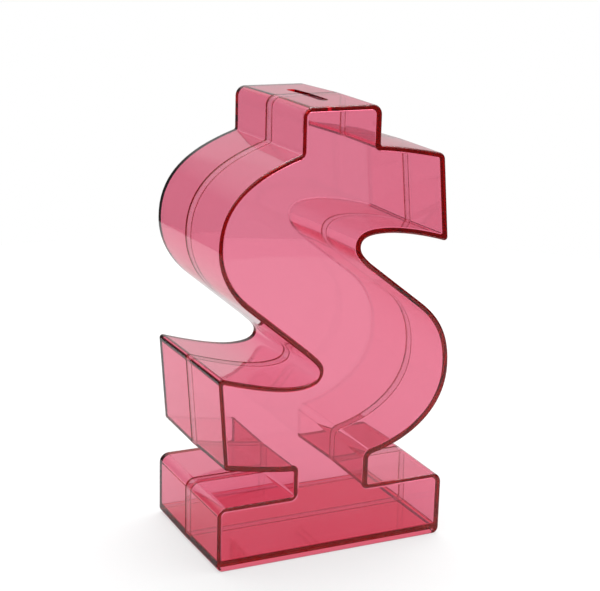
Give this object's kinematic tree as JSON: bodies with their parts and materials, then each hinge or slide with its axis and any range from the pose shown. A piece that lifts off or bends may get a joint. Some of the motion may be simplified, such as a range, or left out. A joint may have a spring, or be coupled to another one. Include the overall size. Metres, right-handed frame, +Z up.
{
  "type": "dollar-sign money bank",
  "caption": "Translucent pink money bank shaped like a dollar sign on a flat base, moulded as a front and a rear half shell that pull apart, with a coin slot in the top.",
  "frame": {"origin": "on the ground plane under the middle of the bounding box", "axes": "+X right, +Y to the back, +Z up; the readable face of the dollar sign looks along -Y"},
  "size_m": [0.1123, 0.0712, 0.2],
  "materials": {
    "front_styrene": "clear pink-tinted injection-moulded styrene, polished, edges read deep red",
    "rear_styrene": "clear pink-tinted injection-moulded styrene, polished, edges read deep red"
  },
  "bodies": {
    "front": {"front_shell": "front_styrene"},
    "rear": {"rear_shell": "rear_styrene"}
  },
  "joints": [
    {"name": "rear_shell_pull_off", "type": "slide", "parent": "front", "child": "rear", "axis": [0, 1, 0], "range_m": [0, 0.08]}
  ]
}
